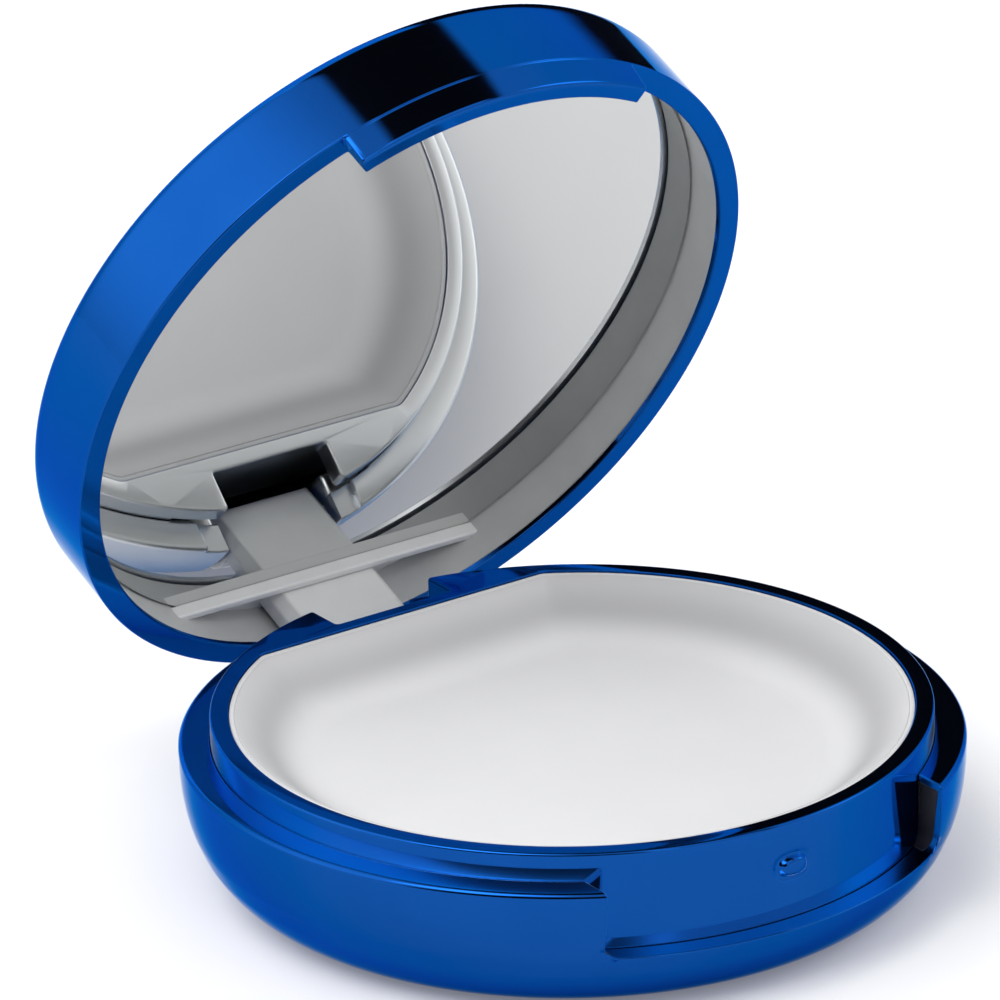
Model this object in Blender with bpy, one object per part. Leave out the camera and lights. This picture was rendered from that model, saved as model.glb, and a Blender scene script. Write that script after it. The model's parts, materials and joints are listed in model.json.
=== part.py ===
"""Round mirror compact: a bowl-shaped base with a product tray, and a lid that holds a D-shaped mirror.

Frame: +Z up, z = 0 on the table, x = y = 0 on the axis of the round base. The hinge is at the back (+Y) and
its axis is parallel to X. The thumb notch is at the front (-Y). The lid is modelled closed, in a frame of its
own whose origin is the centre of the rim, and a pivot on the hinge axis then swings it open.
"""

import math

import bmesh
import bpy
from mathutils import Vector

MM = 0.001

# Overall form
RADIUS = 22.0 * MM
LEDGE_Z = 8.15 * MM
RIM_GAP = 0.2 * MM
RIM_Z = LEDGE_Z + RIM_GAP
LID_HEIGHT = 5.5 * MM
OPEN_ANGLE = math.radians(66.6)
SEGMENTS = 96

# Hinge
HINGE_Y = 20.2 * MM
HINGE_Z = 5.7 * MM
PIN_RADIUS = 0.6 * MM
BORE_RADIUS = 0.75 * MM
PIN_HALF_LENGTH = 5.45 * MM
BORE_HALF_LENGTH = 5.6 * MM
KNUCKLE_RADIUS = 1.6 * MM
KNUCKLE_HALF_WIDTH = 3.7 * MM
HINGE_NOTCH_HALF_WIDTH = 3.97 * MM
HINGE_NOTCH_FLOOR = 3.6 * MM
HINGE_RELIEF_HALF_WIDTH = 5.4 * MM
HINGE_RELIEF_Z = 7.75 * MM
LUG_HALF_WIDTH = 6.6 * MM
LUG_TOP = 7.5 * MM

# Base shell
FOOT_RADIUS = 16.1 * MM
BOWL_EXPONENT = 0.83
LEDGE_EDGE = 0.3 * MM
BOWL_BORE = 20.35 * MM
BOWL_FLOOR = 1.3 * MM
BOWL_FLOOR_RADIUS = 15.0 * MM
SHOULDER_Z = 3.8 * MM
SHOULDER_RADIUS = 18.9 * MM
NOTCH_HALF_WIDTH = 11.35 * MM
NOTCH_FLOOR = 4.1 * MM
NOTCH_CORNER = 0.8 * MM

# Tray
COLLAR_RADIUS = 20.2 * MM
COLLAR_TOP = 9.72 * MM
COLLAR_EDGE = 0.15 * MM
WELL_RADIUS = 19.15 * MM
WELL_CHORD = 16.45 * MM
WELL_FLOOR = 5.1 * MM
WELL_CORNER = 1.2 * MM
CHORD_WALL = 0.88 * MM
EAR_UNDERSIDE = 8.4 * MM
POCKET_HALF_WIDTH = 7.0 * MM
CATCH_Z = 7.15 * MM
CATCH_SIZE = (0.75 * MM, 0.35 * MM, 0.45 * MM)
CATCH_SINK = 0.05 * MM

# Pan and product
FIT = 0.15 * MM
PAN_WALL = 0.4 * MM
PAN_BOTTOM = 5.5 * MM
PAN_FLOOR = 6.1 * MM
PAN_TOP = 9.6 * MM
FILL_BOTTOM = 6.25 * MM
FILL_EDGE = 9.5 * MM
FILL_DISH = 2.6 * MM
FILL_DISH_WIDTH = 5.0 * MM
FILL_RINGS = 9
GLUE_THICKNESS = 0.16 * MM
PAN_GLUE_RADIUS = 14.0 * MM
PAN_GLUE_Z = 5.22 * MM

# Lid, in heights above its rim
LID_BORE = 20.64 * MM
LID_CORNER = 1.1 * MM
LID_CORNER_EXPONENT = 2.6
LID_TOP_WALL = 1.0 * MM
LID_EDGE = 0.25 * MM
LID_LIP = 0.35 * MM
LID_POCKET_RADIUS = 21.35 * MM
LID_POCKET_CHAMFER = 0.4 * MM
TAB_HALF_ANGLE = math.radians(26.25)
TAB_DROP = 1.85 * MM
TAB_TAPER = 0.35 * MM
DIMPLE_SIZE = (0.95 * MM, 0.3 * MM, 0.65 * MM)

# Liner, in heights above the lid's rim
LINER_BORE = 20.85 * MM
LINER_RADIUS = 21.25 * MM
LINER_BOTTOM = 0.5 * MM
LINER_TOP = 4.0 * MM
BRIDGE_RADIUS = 21.05 * MM
BRIDGE_FRONT = HINGE_Y - KNUCKLE_RADIUS
RIB_THICKNESS = 0.5 * MM
RIB_BOTTOM = 2.5 * MM
BRIDGE_FLOOR = 3.4 * MM
BRIDGE_TOP = 3.95 * MM
TONGUE_BACK = 20.1 * MM
TONGUE_TOP = 3.7 * MM
TONGUE_CHAMFER = 0.6 * MM

# Mirror, in heights above the lid's rim
MIRROR_RADIUS = 20.7 * MM
MIRROR_CHORD = 18.42 * MM
MIRROR_FACE = 3.1 * MM
MIRROR_THICKNESS = 1.0 * MM
MIRROR_CORNER = 0.4 * MM
TAPE_INSET = 1.05 * MM
TAPE_BOTTOM = 4.22 * MM

PAST = 1.0 * MM  # how far a cutter reaches past the surface that it cuts


def clear_scene():
    for obj in list(bpy.data.objects):
        bpy.data.objects.remove(obj, do_unlink=True)


def make_material(name, colour, metallic, roughness):
    material = bpy.data.materials.new(name)
    material.use_nodes = True
    shader = material.node_tree.nodes["Principled BSDF"]
    shader.inputs["Base Color"].default_value = (*colour, 1.0)
    shader.inputs["Metallic"].default_value = metallic
    shader.inputs["Roughness"].default_value = roughness
    material.diffuse_color = (*colour, 1.0)
    return material


def add_object(name, bm, material=None, frame=None):
    """Puts a bmesh into the scene as an object, in the lid's frame if one is given."""
    bmesh.ops.recalc_face_normals(bm, faces=bm.faces)
    mesh = bpy.data.meshes.new(name)
    bm.to_mesh(mesh)
    bm.free()
    obj = bpy.data.objects.new(name, mesh)
    bpy.context.scene.collection.objects.link(obj)
    if frame is not None:
        obj.parent = frame
    if material is None:
        obj.hide_render = True
        obj.display_type = "WIRE"
    else:
        mesh.materials.append(material)
        mesh.shade_smooth()
        mesh.set_sharp_from_angle(angle=math.radians(30))
    return obj


def combine(target, operation, tool):
    modifier = target.modifiers.new(f"{operation.lower()} {tool.name}", "BOOLEAN")
    modifier.operation = operation
    modifier.object = tool


def arc(centre, radius, start, end, steps):
    """Points of an arc in a plane, from one angle to another, in degrees."""
    angles = [math.radians(start + (end - start) * i / steps) for i in range(steps + 1)]
    return [(centre[0] + radius * math.cos(a), centre[1] + radius * math.sin(a)) for a in angles]


def bowl_curve(inner, outer, exponent, steps):
    """Rises from the flat of a bowl at inner to its upright wall at outer, both (radius, height)."""
    points = []
    for i in range(steps + 1):
        angle = math.pi / 2 * i / steps
        out = math.sin(angle) ** exponent
        up = 1 - max(math.cos(angle), 0.0) ** exponent
        points.append((inner[0] + (outer[0] - inner[0]) * out, inner[1] + (outer[1] - inner[1]) * up))
    return points


def lathe(profile, segments=SEGMENTS):
    """Turns a closed profile of (radius, height) points about Z."""
    bm = bmesh.new()
    rings = []
    for radius, height in profile:
        if radius == 0:
            rings.append([bm.verts.new((0, 0, height))] * segments)
            continue
        turn = [2 * math.pi * i / segments for i in range(segments)]
        rings.append([bm.verts.new((radius * math.cos(a), radius * math.sin(a), height)) for a in turn])
    for low, high in zip(rings, rings[1:] + rings[:1]):
        for i in range(segments):
            j = (i + 1) % segments
            corners = list(dict.fromkeys((low[i], low[j], high[j], high[i])))
            if len(corners) > 2:
                bm.faces.new(corners)
    return bm


def extrude(outline, direction):
    """A prism: a flat outline of 3-D points, moved along a direction."""
    bm = bmesh.new()
    start = bm.faces.new([bm.verts.new(point) for point in outline])
    grown = bmesh.ops.extrude_face_region(bm, geom=[start])
    moved = [item for item in grown["geom"] if isinstance(item, bmesh.types.BMVert)]
    bmesh.ops.translate(bm, verts=moved, vec=direction)
    return bm


def box(low, high):
    outline = [(low[0], low[1], low[2]), (high[0], low[1], low[2]),
               (high[0], high[1], low[2]), (low[0], high[1], low[2])]
    return extrude(outline, (0, 0, high[2] - low[2]))


def cylinder_x(radius, half_length, y, z, steps=32):
    circle = arc((y, z), radius, 0, 360, steps)[:-1]
    return extrude([(-half_length, *point) for point in circle], (2 * half_length, 0, 0))


def ellipsoid(centre, size, segments=20, rings=10):
    bm = bmesh.new()
    bmesh.ops.create_uvsphere(bm, u_segments=segments, v_segments=rings, radius=1.0)
    bmesh.ops.scale(bm, verts=bm.verts, vec=size)
    bmesh.ops.translate(bm, verts=bm.verts, vec=centre)
    return bm


def d_outline(radius, chord, corner, steps=72, corner_steps=4):
    """A circle cut off by a chord at +Y, with its two corners rounded."""
    x = math.sqrt((radius - corner) ** 2 - (chord - corner) ** 2)
    tangent = math.degrees(math.atan2(chord - corner, x))
    return (arc((0, 0), radius, -180 - tangent, tangent, steps)
            + arc((x, chord - corner), corner, tangent, 90, corner_steps)[1:]
            + arc((-x, chord - corner), corner, 90, 180 - tangent, corner_steps)[:-1])


def d_prism(radius, chord, corner, bottom, top):
    outline = [(x, y, bottom) for x, y in d_outline(radius, chord, corner)]
    return extrude(outline, (0, 0, top - bottom))


def base_shell(material):
    """The outer bowl, with the thumb notch in front and the lugs and notch for the hinge at the back."""
    outside = bowl_curve((FOOT_RADIUS, 0), (RADIUS, LEDGE_Z - LEDGE_EDGE), BOWL_EXPONENT, 9)
    edge = arc((RADIUS - LEDGE_EDGE, LEDGE_Z - LEDGE_EDGE), LEDGE_EDGE, 0, 90, 2)[1:]
    inside = bowl_curve((BOWL_FLOOR_RADIUS, BOWL_FLOOR), (SHOULDER_RADIUS, SHOULDER_Z), BOWL_EXPONENT, 3)
    profile = [(0, 0)] + outside + edge
    profile += [(BOWL_BORE, LEDGE_Z), (BOWL_BORE, SHOULDER_Z)]
    profile += inside[::-1] + [(0, BOWL_FLOOR)]
    shell = add_object("base_shell", lathe(profile), material)

    lugs = box((-LUG_HALF_WIDTH, BRIDGE_FRONT - FIT, SHOULDER_Z - PAST / 2), (LUG_HALF_WIDTH, HINGE_Y, LUG_TOP))
    narrow, wide, top = HINGE_NOTCH_HALF_WIDTH, HINGE_RELIEF_HALF_WIDTH, LEDGE_Z + PAST
    outline = [(-narrow, HINGE_NOTCH_FLOOR), (narrow, HINGE_NOTCH_FLOOR), (narrow, HINGE_RELIEF_Z),
               (wide, HINGE_RELIEF_Z), (wide, top), (-wide, top),
               (-wide, HINGE_RELIEF_Z), (-narrow, HINGE_RELIEF_Z)]
    hinge_notch = extrude([(x, WELL_CHORD, z) for x, z in outline], (0, RADIUS + PAST - WELL_CHORD, 0))
    left, right, low = -NOTCH_HALF_WIDTH, NOTCH_HALF_WIDTH, NOTCH_FLOOR
    outline = [(right, top), (left, top)]
    outline += arc((left + NOTCH_CORNER, low + NOTCH_CORNER), NOTCH_CORNER, 180, 270, 5)
    outline += arc((right - NOTCH_CORNER, low + NOTCH_CORNER), NOTCH_CORNER, 270, 360, 5)
    thumb_notch = extrude([(x, -RADIUS - PAST, z) for x, z in outline], (0, RADIUS - WELL_CHORD + 2 * PAST, 0))
    bore = cylinder_x(BORE_RADIUS, BORE_HALF_LENGTH, HINGE_Y, HINGE_Z)
    combine(shell, "UNION", add_object("lug_block", lugs))
    combine(shell, "DIFFERENCE", add_object("hinge_notch_cutter", hinge_notch))
    combine(shell, "DIFFERENCE", add_object("thumb_notch_cutter", thumb_notch))
    combine(shell, "DIFFERENCE", add_object("base_bore_cutter", bore))


def inner_tray(material):
    """The collar that the lid closes over, its D-shaped well, and the ears that cover the hinge lugs."""
    profile = [(0, NOTCH_FLOOR), (COLLAR_RADIUS, NOTCH_FLOOR)]
    profile += arc((COLLAR_RADIUS - COLLAR_EDGE, COLLAR_TOP - COLLAR_EDGE), COLLAR_EDGE, 0, 90, 2)
    profile += [(0, COLLAR_TOP)]
    tray = add_object("inner_tray", lathe(profile), material)

    well = d_prism(WELL_RADIUS, WELL_CHORD, WELL_CORNER, WELL_FLOOR, COLLAR_TOP + PAST)
    bottom, top = NOTCH_FLOOR - PAST, COLLAR_TOP + PAST
    wide, narrow = POCKET_HALF_WIDTH, HINGE_NOTCH_HALF_WIDTH
    outline = [(-wide, bottom), (wide, bottom), (wide, EAR_UNDERSIDE), (narrow, EAR_UNDERSIDE),
               (narrow, top), (-narrow, top), (-narrow, EAR_UNDERSIDE), (-wide, EAR_UNDERSIDE)]
    wall_back = WELL_CHORD + CHORD_WALL
    pocket = extrude([(x, wall_back, z) for x, z in outline], (0, COLLAR_RADIUS + PAST - wall_back, 0))
    catch = ellipsoid((0, CATCH_SINK - COLLAR_RADIUS, CATCH_Z), CATCH_SIZE)
    combine(tray, "DIFFERENCE", add_object("well_cutter", well))
    combine(tray, "DIFFERENCE", add_object("hinge_pocket_cutter", pocket))
    combine(tray, "UNION", add_object("catch_nub", catch))


def product_pan(material):
    """The white cup in the well."""
    radius, chord = WELL_RADIUS - FIT, WELL_CHORD - FIT
    cup = add_object("product_pan", d_prism(radius, chord, WELL_CORNER, PAN_BOTTOM, PAN_TOP), material)
    hollow = d_prism(radius - PAN_WALL, chord - PAN_WALL, WELL_CORNER - PAN_WALL, PAN_FLOOR, PAN_TOP + PAST)
    combine(cup, "DIFFERENCE", add_object("pan_cutter", hollow))


def product_fill(material):
    """The product: a D-shaped cake whose top curves down from its edge to a flat middle."""
    inset = FIT + PAN_WALL + FIT
    corner = WELL_CORNER - PAN_WALL
    bm = bmesh.new()
    levels = [(0.0, FILL_BOTTOM)]
    for i in range(FILL_RINGS + 1):
        share = i / FILL_RINGS
        levels.append((FILL_DISH_WIDTH * share, FILL_EDGE - FILL_DISH * math.sin(math.pi / 2 * share)))
    rings = []
    for inward, height in levels:
        outline = d_outline(WELL_RADIUS - inset - inward, WELL_CHORD - inset - inward, corner)
        rings.append([bm.verts.new((x, y, height)) for x, y in outline])
    for low, high in zip(rings, rings[1:]):
        for i in range(len(low)):
            j = (i + 1) % len(low)
            bm.faces.new((low[i], low[j], high[j], high[i]))
    bm.faces.new(rings[0])
    bm.faces.new(rings[-1])
    add_object("product_fill", bm, material)


def pan_adhesive(material):
    disc = [(0, PAN_GLUE_Z), (PAN_GLUE_RADIUS, PAN_GLUE_Z),
            (PAN_GLUE_RADIUS, PAN_GLUE_Z + GLUE_THICKNESS), (0, PAN_GLUE_Z + GLUE_THICKNESS)]
    add_object("pan_adhesive", lathe(disc, SEGMENTS // 2), material)


def hinge_pin(material):
    add_object("hinge_pin", cylinder_x(PIN_RADIUS, PIN_HALF_LENGTH, HINGE_Y, HINGE_Z), material)


def lid_frame():
    """The pivot on the hinge axis, and the frame of the lid's rim, which swings with it."""
    pivot = bpy.data.objects.new("lid_pivot", None)
    pivot.location = (0, HINGE_Y, HINGE_Z)
    pivot.rotation_euler = (-OPEN_ANGLE, 0, 0)
    rim = bpy.data.objects.new("lid_rim", None)
    rim.parent = pivot
    rim.location = (0, -HINGE_Y, RIM_Z - HINGE_Z)
    for empty in (pivot, rim):
        bpy.context.scene.collection.objects.link(empty)
    return rim


def add_tab(bm):
    """Drops the rim's bottom faces at the front of the lid into a tab that narrows downwards."""
    def in_tab(face):
        middle = face.calc_center_median()
        low = middle.z < LID_EDGE and face.normal.z < -0.1
        return low and abs(math.atan2(middle.x, -middle.y)) < TAB_HALF_ANGLE

    bmesh.ops.recalc_face_normals(bm, faces=bm.faces)
    bm.normal_update()
    faces = [face for face in bm.faces if in_tab(face)]
    grown = bmesh.ops.extrude_face_region(bm, geom=faces)
    bmesh.ops.delete(bm, geom=faces, context="FACES")
    for item in grown["geom"]:
        if not isinstance(item, bmesh.types.BMVert):
            continue
        flat = Vector((item.co.x, item.co.y, 0))
        share = (flat.length - LID_BORE) / (RADIUS - LID_BORE)
        item.co -= flat.normalized() * TAB_TAPER * share
        item.co.z -= TAB_DROP


def lid_shell(material, frame):
    """The blue cap: a round lid with a tab that drops into the thumb notch."""
    top, under = LID_HEIGHT, LID_HEIGHT - LID_TOP_WALL
    corner = []
    for point in arc((0, 0), 1.0, 0, 90, 4):
        out, up = (max(value, 0.0) ** (2 / LID_CORNER_EXPONENT) for value in point)
        corner.append((RADIUS - LID_CORNER + LID_CORNER * out, top - LID_CORNER + LID_CORNER * up))
    profile = [(LID_BORE, 0)]
    profile += arc((RADIUS - LID_EDGE, LID_EDGE), LID_EDGE, -90, 0, 2)
    profile += corner
    profile += [(0, top), (0, under), (LID_POCKET_RADIUS - LID_POCKET_CHAMFER, under),
                (LID_POCKET_RADIUS, under - LID_POCKET_CHAMFER), (LID_POCKET_RADIUS, LID_LIP), (LID_BORE, LID_LIP)]
    bm = lathe(profile)
    add_tab(bm)
    cap = add_object("lid_shell", bm, material, frame)
    dimple = ellipsoid((0, -LID_BORE, CATCH_Z - RIM_Z), DIMPLE_SIZE)
    combine(cap, "DIFFERENCE", add_object("catch_dimple_cutter", dimple, frame=frame))


def segment_outline(radius, chord, steps=16):
    """The part of a circle beyond a chord at +Y."""
    angle = math.degrees(math.asin(chord / radius))
    return arc((0, 0), radius, angle, 180 - angle, steps)


def lid_liner(material, frame):
    """The grey ring inside the cap, with the rib along the mirror's chord and the tongue down to the hinge."""
    ring = [(LINER_BORE, LINER_BOTTOM), (LINER_RADIUS, LINER_BOTTOM),
            (LINER_RADIUS, LINER_TOP), (LINER_BORE, LINER_TOP)]
    liner = add_object("lid_liner", lathe(ring), material, frame)

    outline = [(x, y, RIB_BOTTOM) for x, y in segment_outline(BRIDGE_RADIUS, BRIDGE_FRONT)]
    bridge = add_object("liner_bridge", extrude(outline, (0, 0, BRIDGE_TOP - RIB_BOTTOM)), frame=frame)
    pocket = box((-BRIDGE_FRONT, BRIDGE_FRONT + RIB_THICKNESS, RIB_BOTTOM - PAST),
                 (BRIDGE_FRONT, BRIDGE_RADIUS + PAST, BRIDGE_FLOOR))
    combine(bridge, "DIFFERENCE", add_object("liner_pocket_cutter", pocket, frame=frame))

    axis = (HINGE_Y, HINGE_Z - RIM_Z)
    back_angle = math.degrees(math.acos((TONGUE_BACK - HINGE_Y) / KNUCKLE_RADIUS))
    side = [(BRIDGE_FRONT, TONGUE_TOP)] + arc(axis, KNUCKLE_RADIUS, 180, 360 + back_angle, 24)
    side += [(TONGUE_BACK, TONGUE_TOP)]
    half = KNUCKLE_HALF_WIDTH
    tongue = extrude([(-half, y, z) for y, z in side], (2 * half, 0, 0))
    combine(liner, "UNION", bridge)
    combine(liner, "UNION", add_object("liner_tongue", tongue, frame=frame))

    bottom = axis[1] - KNUCKLE_RADIUS - PAST
    for name, sign in (("left", -1), ("right", 1)):
        start = half - TONGUE_CHAMFER
        reach = TONGUE_CHAMFER + FIT
        corner = [(start - FIT, -FIT), (start + reach, -FIT), (start + reach, reach)]
        outline = [(sign * x, BRIDGE_FRONT + y, bottom) for x, y in corner]
        chamfer = add_object(f"tongue_{name}_cutter", extrude(outline, (0, 0, RIB_BOTTOM - bottom)), frame=frame)
        combine(liner, "DIFFERENCE", chamfer)
    bore = cylinder_x(BORE_RADIUS, half + PAST, *axis)
    combine(liner, "DIFFERENCE", add_object("tongue_bore_cutter", bore, frame=frame))


def mirror(material, frame):
    glass = d_prism(MIRROR_RADIUS, MIRROR_CHORD, MIRROR_CORNER, MIRROR_FACE, MIRROR_FACE + MIRROR_THICKNESS)
    add_object("mirror", glass, material, frame)


def mirror_tape(material, frame):
    sheet = d_prism(MIRROR_RADIUS - TAPE_INSET, MIRROR_CHORD - TAPE_INSET, MIRROR_CORNER,
                    TAPE_BOTTOM, TAPE_BOTTOM + GLUE_THICKNESS)
    add_object("mirror_tape", sheet, material, frame)


def main():
    clear_scene()
    blue = make_material("blue_metallised", (0.005, 0.084, 0.376), 1.0, 0.16)
    grey = make_material("grey_satin", (0.42, 0.43, 0.43), 0.3, 0.4)
    white = make_material("white_plastic", (0.80, 0.80, 0.81), 0.0, 0.35)
    balm = make_material("white_balm", (0.78, 0.78, 0.79), 0.0, 0.5)
    silver = make_material("mirror_glass", (0.75, 0.76, 0.76), 1.0, 0.02)
    steel = make_material("steel", (0.55, 0.56, 0.57), 1.0, 0.25)
    glue = make_material("adhesive", (0.75, 0.74, 0.70), 0.0, 0.6)
    base_shell(blue)
    inner_tray(blue)
    pan_adhesive(glue)
    product_pan(white)
    product_fill(balm)
    hinge_pin(steel)
    frame = lid_frame()
    lid_shell(blue, frame)
    lid_liner(grey, frame)
    mirror_tape(glue, frame)
    mirror(silver, frame)


main()
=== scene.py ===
"""Looks of the round mirror compact: filleted pieces for the CAD nodes, their materials, and the studio.

All shapes are worked out in millimetres in the row frame. The lid's pieces are worked out closed, in heights
above the lid's rim, and then turned open about the hinge axis as far as the record says.
"""

import json
import math

import bmesh
import bpy
from mathutils import Matrix, Vector

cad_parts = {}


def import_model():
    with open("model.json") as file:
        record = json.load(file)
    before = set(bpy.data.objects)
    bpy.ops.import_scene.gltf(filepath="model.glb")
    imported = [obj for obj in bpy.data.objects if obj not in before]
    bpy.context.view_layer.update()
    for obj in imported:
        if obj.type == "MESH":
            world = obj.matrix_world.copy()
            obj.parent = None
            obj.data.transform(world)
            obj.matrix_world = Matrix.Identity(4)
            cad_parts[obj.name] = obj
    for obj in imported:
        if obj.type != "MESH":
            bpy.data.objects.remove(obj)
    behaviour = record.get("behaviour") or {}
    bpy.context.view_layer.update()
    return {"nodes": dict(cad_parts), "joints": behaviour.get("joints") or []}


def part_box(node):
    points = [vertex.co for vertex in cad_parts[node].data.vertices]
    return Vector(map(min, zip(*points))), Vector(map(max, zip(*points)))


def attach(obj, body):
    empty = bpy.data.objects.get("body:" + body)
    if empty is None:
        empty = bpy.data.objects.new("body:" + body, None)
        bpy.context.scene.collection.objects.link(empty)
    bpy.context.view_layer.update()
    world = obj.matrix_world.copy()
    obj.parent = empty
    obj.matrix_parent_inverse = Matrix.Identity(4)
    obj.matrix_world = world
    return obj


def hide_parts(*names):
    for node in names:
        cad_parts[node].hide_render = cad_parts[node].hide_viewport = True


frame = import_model()
MM = 0.001


def low(node):
    """A CAD node's lowest corner, in millimetres."""
    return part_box(node)[0] / MM


def high(node):
    """A CAD node's highest corner, in millimetres."""
    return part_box(node)[1] / MM


HINGE = frame["joints"][0]
HINGE_Y = HINGE["pos_m"][1] / MM
HINGE_Z = HINGE["pos_m"][2] / MM
OPEN_ANGLE = -math.radians(HINGE["range_deg"][0])

# Base: outer bowl
RADIUS = high("base_shell").x
LEDGE_Z = high("base_shell").z
LEDGE_EDGE = 0.3
LEDGE_MIDDLE = 21.2
FOOT_RADIUS = 16.1
FOOT_EDGE = 0.4
BOWL_EXPONENT = 0.83
BOWL_TURNS = (4, 8, 12, 16, 20, 24, 28, 32, 36, 40, 44, 48, 52, 55)
BORE = 20.23
BORE_EDGE = 0.12
SHOULDER = (18.9, 3.8)
INNER_FLOOR = (15.0, 1.3)
BOWL_EDGE = 0.1

# Base: thumb notch in front, slot and relief for the hinge behind, and the rows of the skin that they need
NOTCH_X = 11.35
NOTCH_FLOOR = low("inner_tray").z
NOTCH_CORNER = 0.8
HINGE_SLOT_X = 3.97
HINGE_SLOT_FLOOR = 3.85
RELIEF_X = 5.4
RELIEF_Z = 7.75
BACK_COLUMNS = (RELIEF_X, 4.7, HINGE_SLOT_X, 2.6, 1.3, 0)
WALL_ROWS = (5.5, 6.1, 6.7, 7.3)
CORNER_STEPS = 6
FLOOR_ROW = 1
CORNER_ROW = FLOOR_ROW + CORNER_STEPS
RELIEF_ROW = CORNER_ROW + len(WALL_ROWS) + 1
TOP_ROW = RELIEF_ROW + 1

# Base: hinge lugs and rim ends
LUG_X = 6.6
LUG_Y = 18.5
LUG_Z = (3.6, 7.5)
LUG_EDGE = 0.3
RIM_END_TOP = LEDGE_Z - 0.4
RIM_END_INNER = 16.75
RIM_END_OUTER = 18.5
RIM_END_LEAN = 0.15
RIM_END_DEPTH = 0.2
RIM_END_PROUD = 0.03
RIM_END_EDGE = 0.04

# Tray, pan and product
COLLAR = high("inner_tray").x
COLLAR_TOP = high("inner_tray").z
COLLAR_EDGE = 0.16
WELL = (19.15, 16.45, 1.2)
WELL_EDGE = 0.05
WELL_FLOOR = 5.1
SLOT_FRONT = 17.33
EAR_CORNER = 0.25
SLOT_CORNER = 0.2
SLOT_CUT = ((-7.0, SLOT_FRONT, 3.0), (7.0, 22.0, 8.4))
NUB_Z = 7.15
NUB_SIZE = (0.86, 0.54, 0.36)
NUB_POWER = 2.6
NUB_GROOVE = 0.08
NUB_ROWS = (6.3, 8.0)
PAN_TOP = high("product_pan").z
PAN_BOTTOM = 5.5
PAN_FLOOR = 6.1
PAN_GAP = 0.03
PAN_WALL = 0.3
PAN_EDGE = 0.08
FILL_BOTTOM = 6.15
FILL_EDGE_Z = high("product_fill").z + 0.08
FILL_FLOOR_Z = 6.9
FILL_DISH = FILL_EDGE_Z - FILL_FLOOR_Z
FILL_DISH_WIDTH = 4.8
FILL_EDGE = 0.05

# Lid, in heights above its rim
RIM_Z = LEDGE_Z + 0.2
LID_BORE = 20.64
LID_HEIGHT = 5.5
LID_CORNER = 1.1
LID_CORNER_EXPONENT = 2.6
LID_EDGE = 0.2
LIP = 0.35
POCKET = 21.35
POCKET_CORNER = 0.4
LID_UNDER = 4.5
TAB_HALF_ANGLE = math.radians(26.25)
TAB_DROP = 1.85
TAB_TAPER = 0.35
TAB_STEP = 0.06

# Liner and mirror, in heights above the lid's rim
LINER_BORE = 20.85
LINER_RADIUS = 21.25
LINER_BOTTOM = 0.5
LINER_TOP = 4.0
LINER_EDGE = 0.12
GROOVE = 0.35
BRIDGE_FRONT = 18.6
BRIDGE_FLOOR = 3.4
BRIDGE_TOP = 3.95
BRIDGE_RADIUS = 21.05
BRIDGE_EDGE = 0.12
RIB = 0.5
RIB_FRONT = 18.0
RIB_BOTTOM = 2.2
KNUCKLE = 1.6
TONGUE_X = 3.7
TONGUE_TOP = 3.7
TONGUE_CHAMFER = 0.6
TONGUE_EDGE = 0.1
MIRROR = (20.7, 18.42, 0.4)
MIRROR_FACE = 3.1
MIRROR_BACK = 4.1
MIRROR_EDGE = 0.02

# Camera: angles round, up and of roll in degrees, and where it aims, in millimetres
CAMERA_TURN = (-35.17, 22.17, -1.12)
CAMERA_TARGET = (0, 8, 15)
CAMERA_SHIFT = (0.83, 4.012)
CAMERA_LENS = 288.04
CAMERA_DISTANCE = 450

# Studio floor, in metres
FLOOR_RADIUS = 8.0


# ---------------------------------------------------------------- mesh helpers

def to_lid():
    """Takes closed lid coordinates, in millimetres, to the open lid in the row frame, in metres."""
    hinge = Vector((0, HINGE_Y, HINGE_Z)) * MM
    turn = Matrix.Rotation(-OPEN_ANGLE, 4, "X")
    lift = Matrix.Translation(Vector((0, 0, RIM_Z)) * MM - hinge)
    return Matrix.Translation(hinge) @ turn @ lift @ Matrix.Scale(MM, 4)


def to_base():
    """Takes millimetres to metres."""
    return Matrix.Scale(MM, 4)


def finish_mesh(name, bm, place, material, body, replaces=(), sharp=30):
    """Turns a bmesh in millimetres into a piece that rides on a body."""
    bmesh.ops.remove_doubles(bm, verts=bm.verts, dist=1e-5)
    bmesh.ops.recalc_face_normals(bm, faces=bm.faces)
    mesh = bpy.data.meshes.new(name)
    bm.to_mesh(mesh)
    bm.free()
    mesh.transform(place)
    mesh.materials.append(material)
    mesh.shade_smooth()
    mesh.set_sharp_from_angle(angle=math.radians(sharp))
    obj = bpy.data.objects.new(name, mesh)
    bpy.context.scene.collection.objects.link(obj)
    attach(obj, body)
    if replaces:
        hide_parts(*replaces)
    return obj


def bevel(obj, width, segments=3, limit="WEIGHT", angle=35):
    """Rounds a piece's edges: the weighted ones, or those sharper than an angle."""
    modifier = obj.modifiers.new("fillets", "BEVEL")
    modifier.width = width * MM
    modifier.segments = segments
    modifier.limit_method = limit
    modifier.angle_limit = math.radians(angle)
    modifier.use_clamp_overlap = False
    modifier.miter_outer = "MITER_ARC"
    weighted(obj)


def weighted(obj):
    """Keeps flat faces flat beside the small faces of a fillet."""
    modifier = obj.modifiers.new("flat faces stay flat", "WEIGHTED_NORMAL")
    modifier.keep_sharp = True
    modifier.weight = 80


def spread(start, end, steps):
    """Evenly spaced numbers, both ends included."""
    return [start + (end - start) * i / steps for i in range(steps + 1)]


def arc(centre, radius, start, end, steps):
    """Points of an arc in a plane, angles in degrees."""
    angles = [math.radians(a) for a in spread(start, end, steps)]
    return [(centre[0] + radius * math.cos(a), centre[1] + radius * math.sin(a)) for a in angles]


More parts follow.
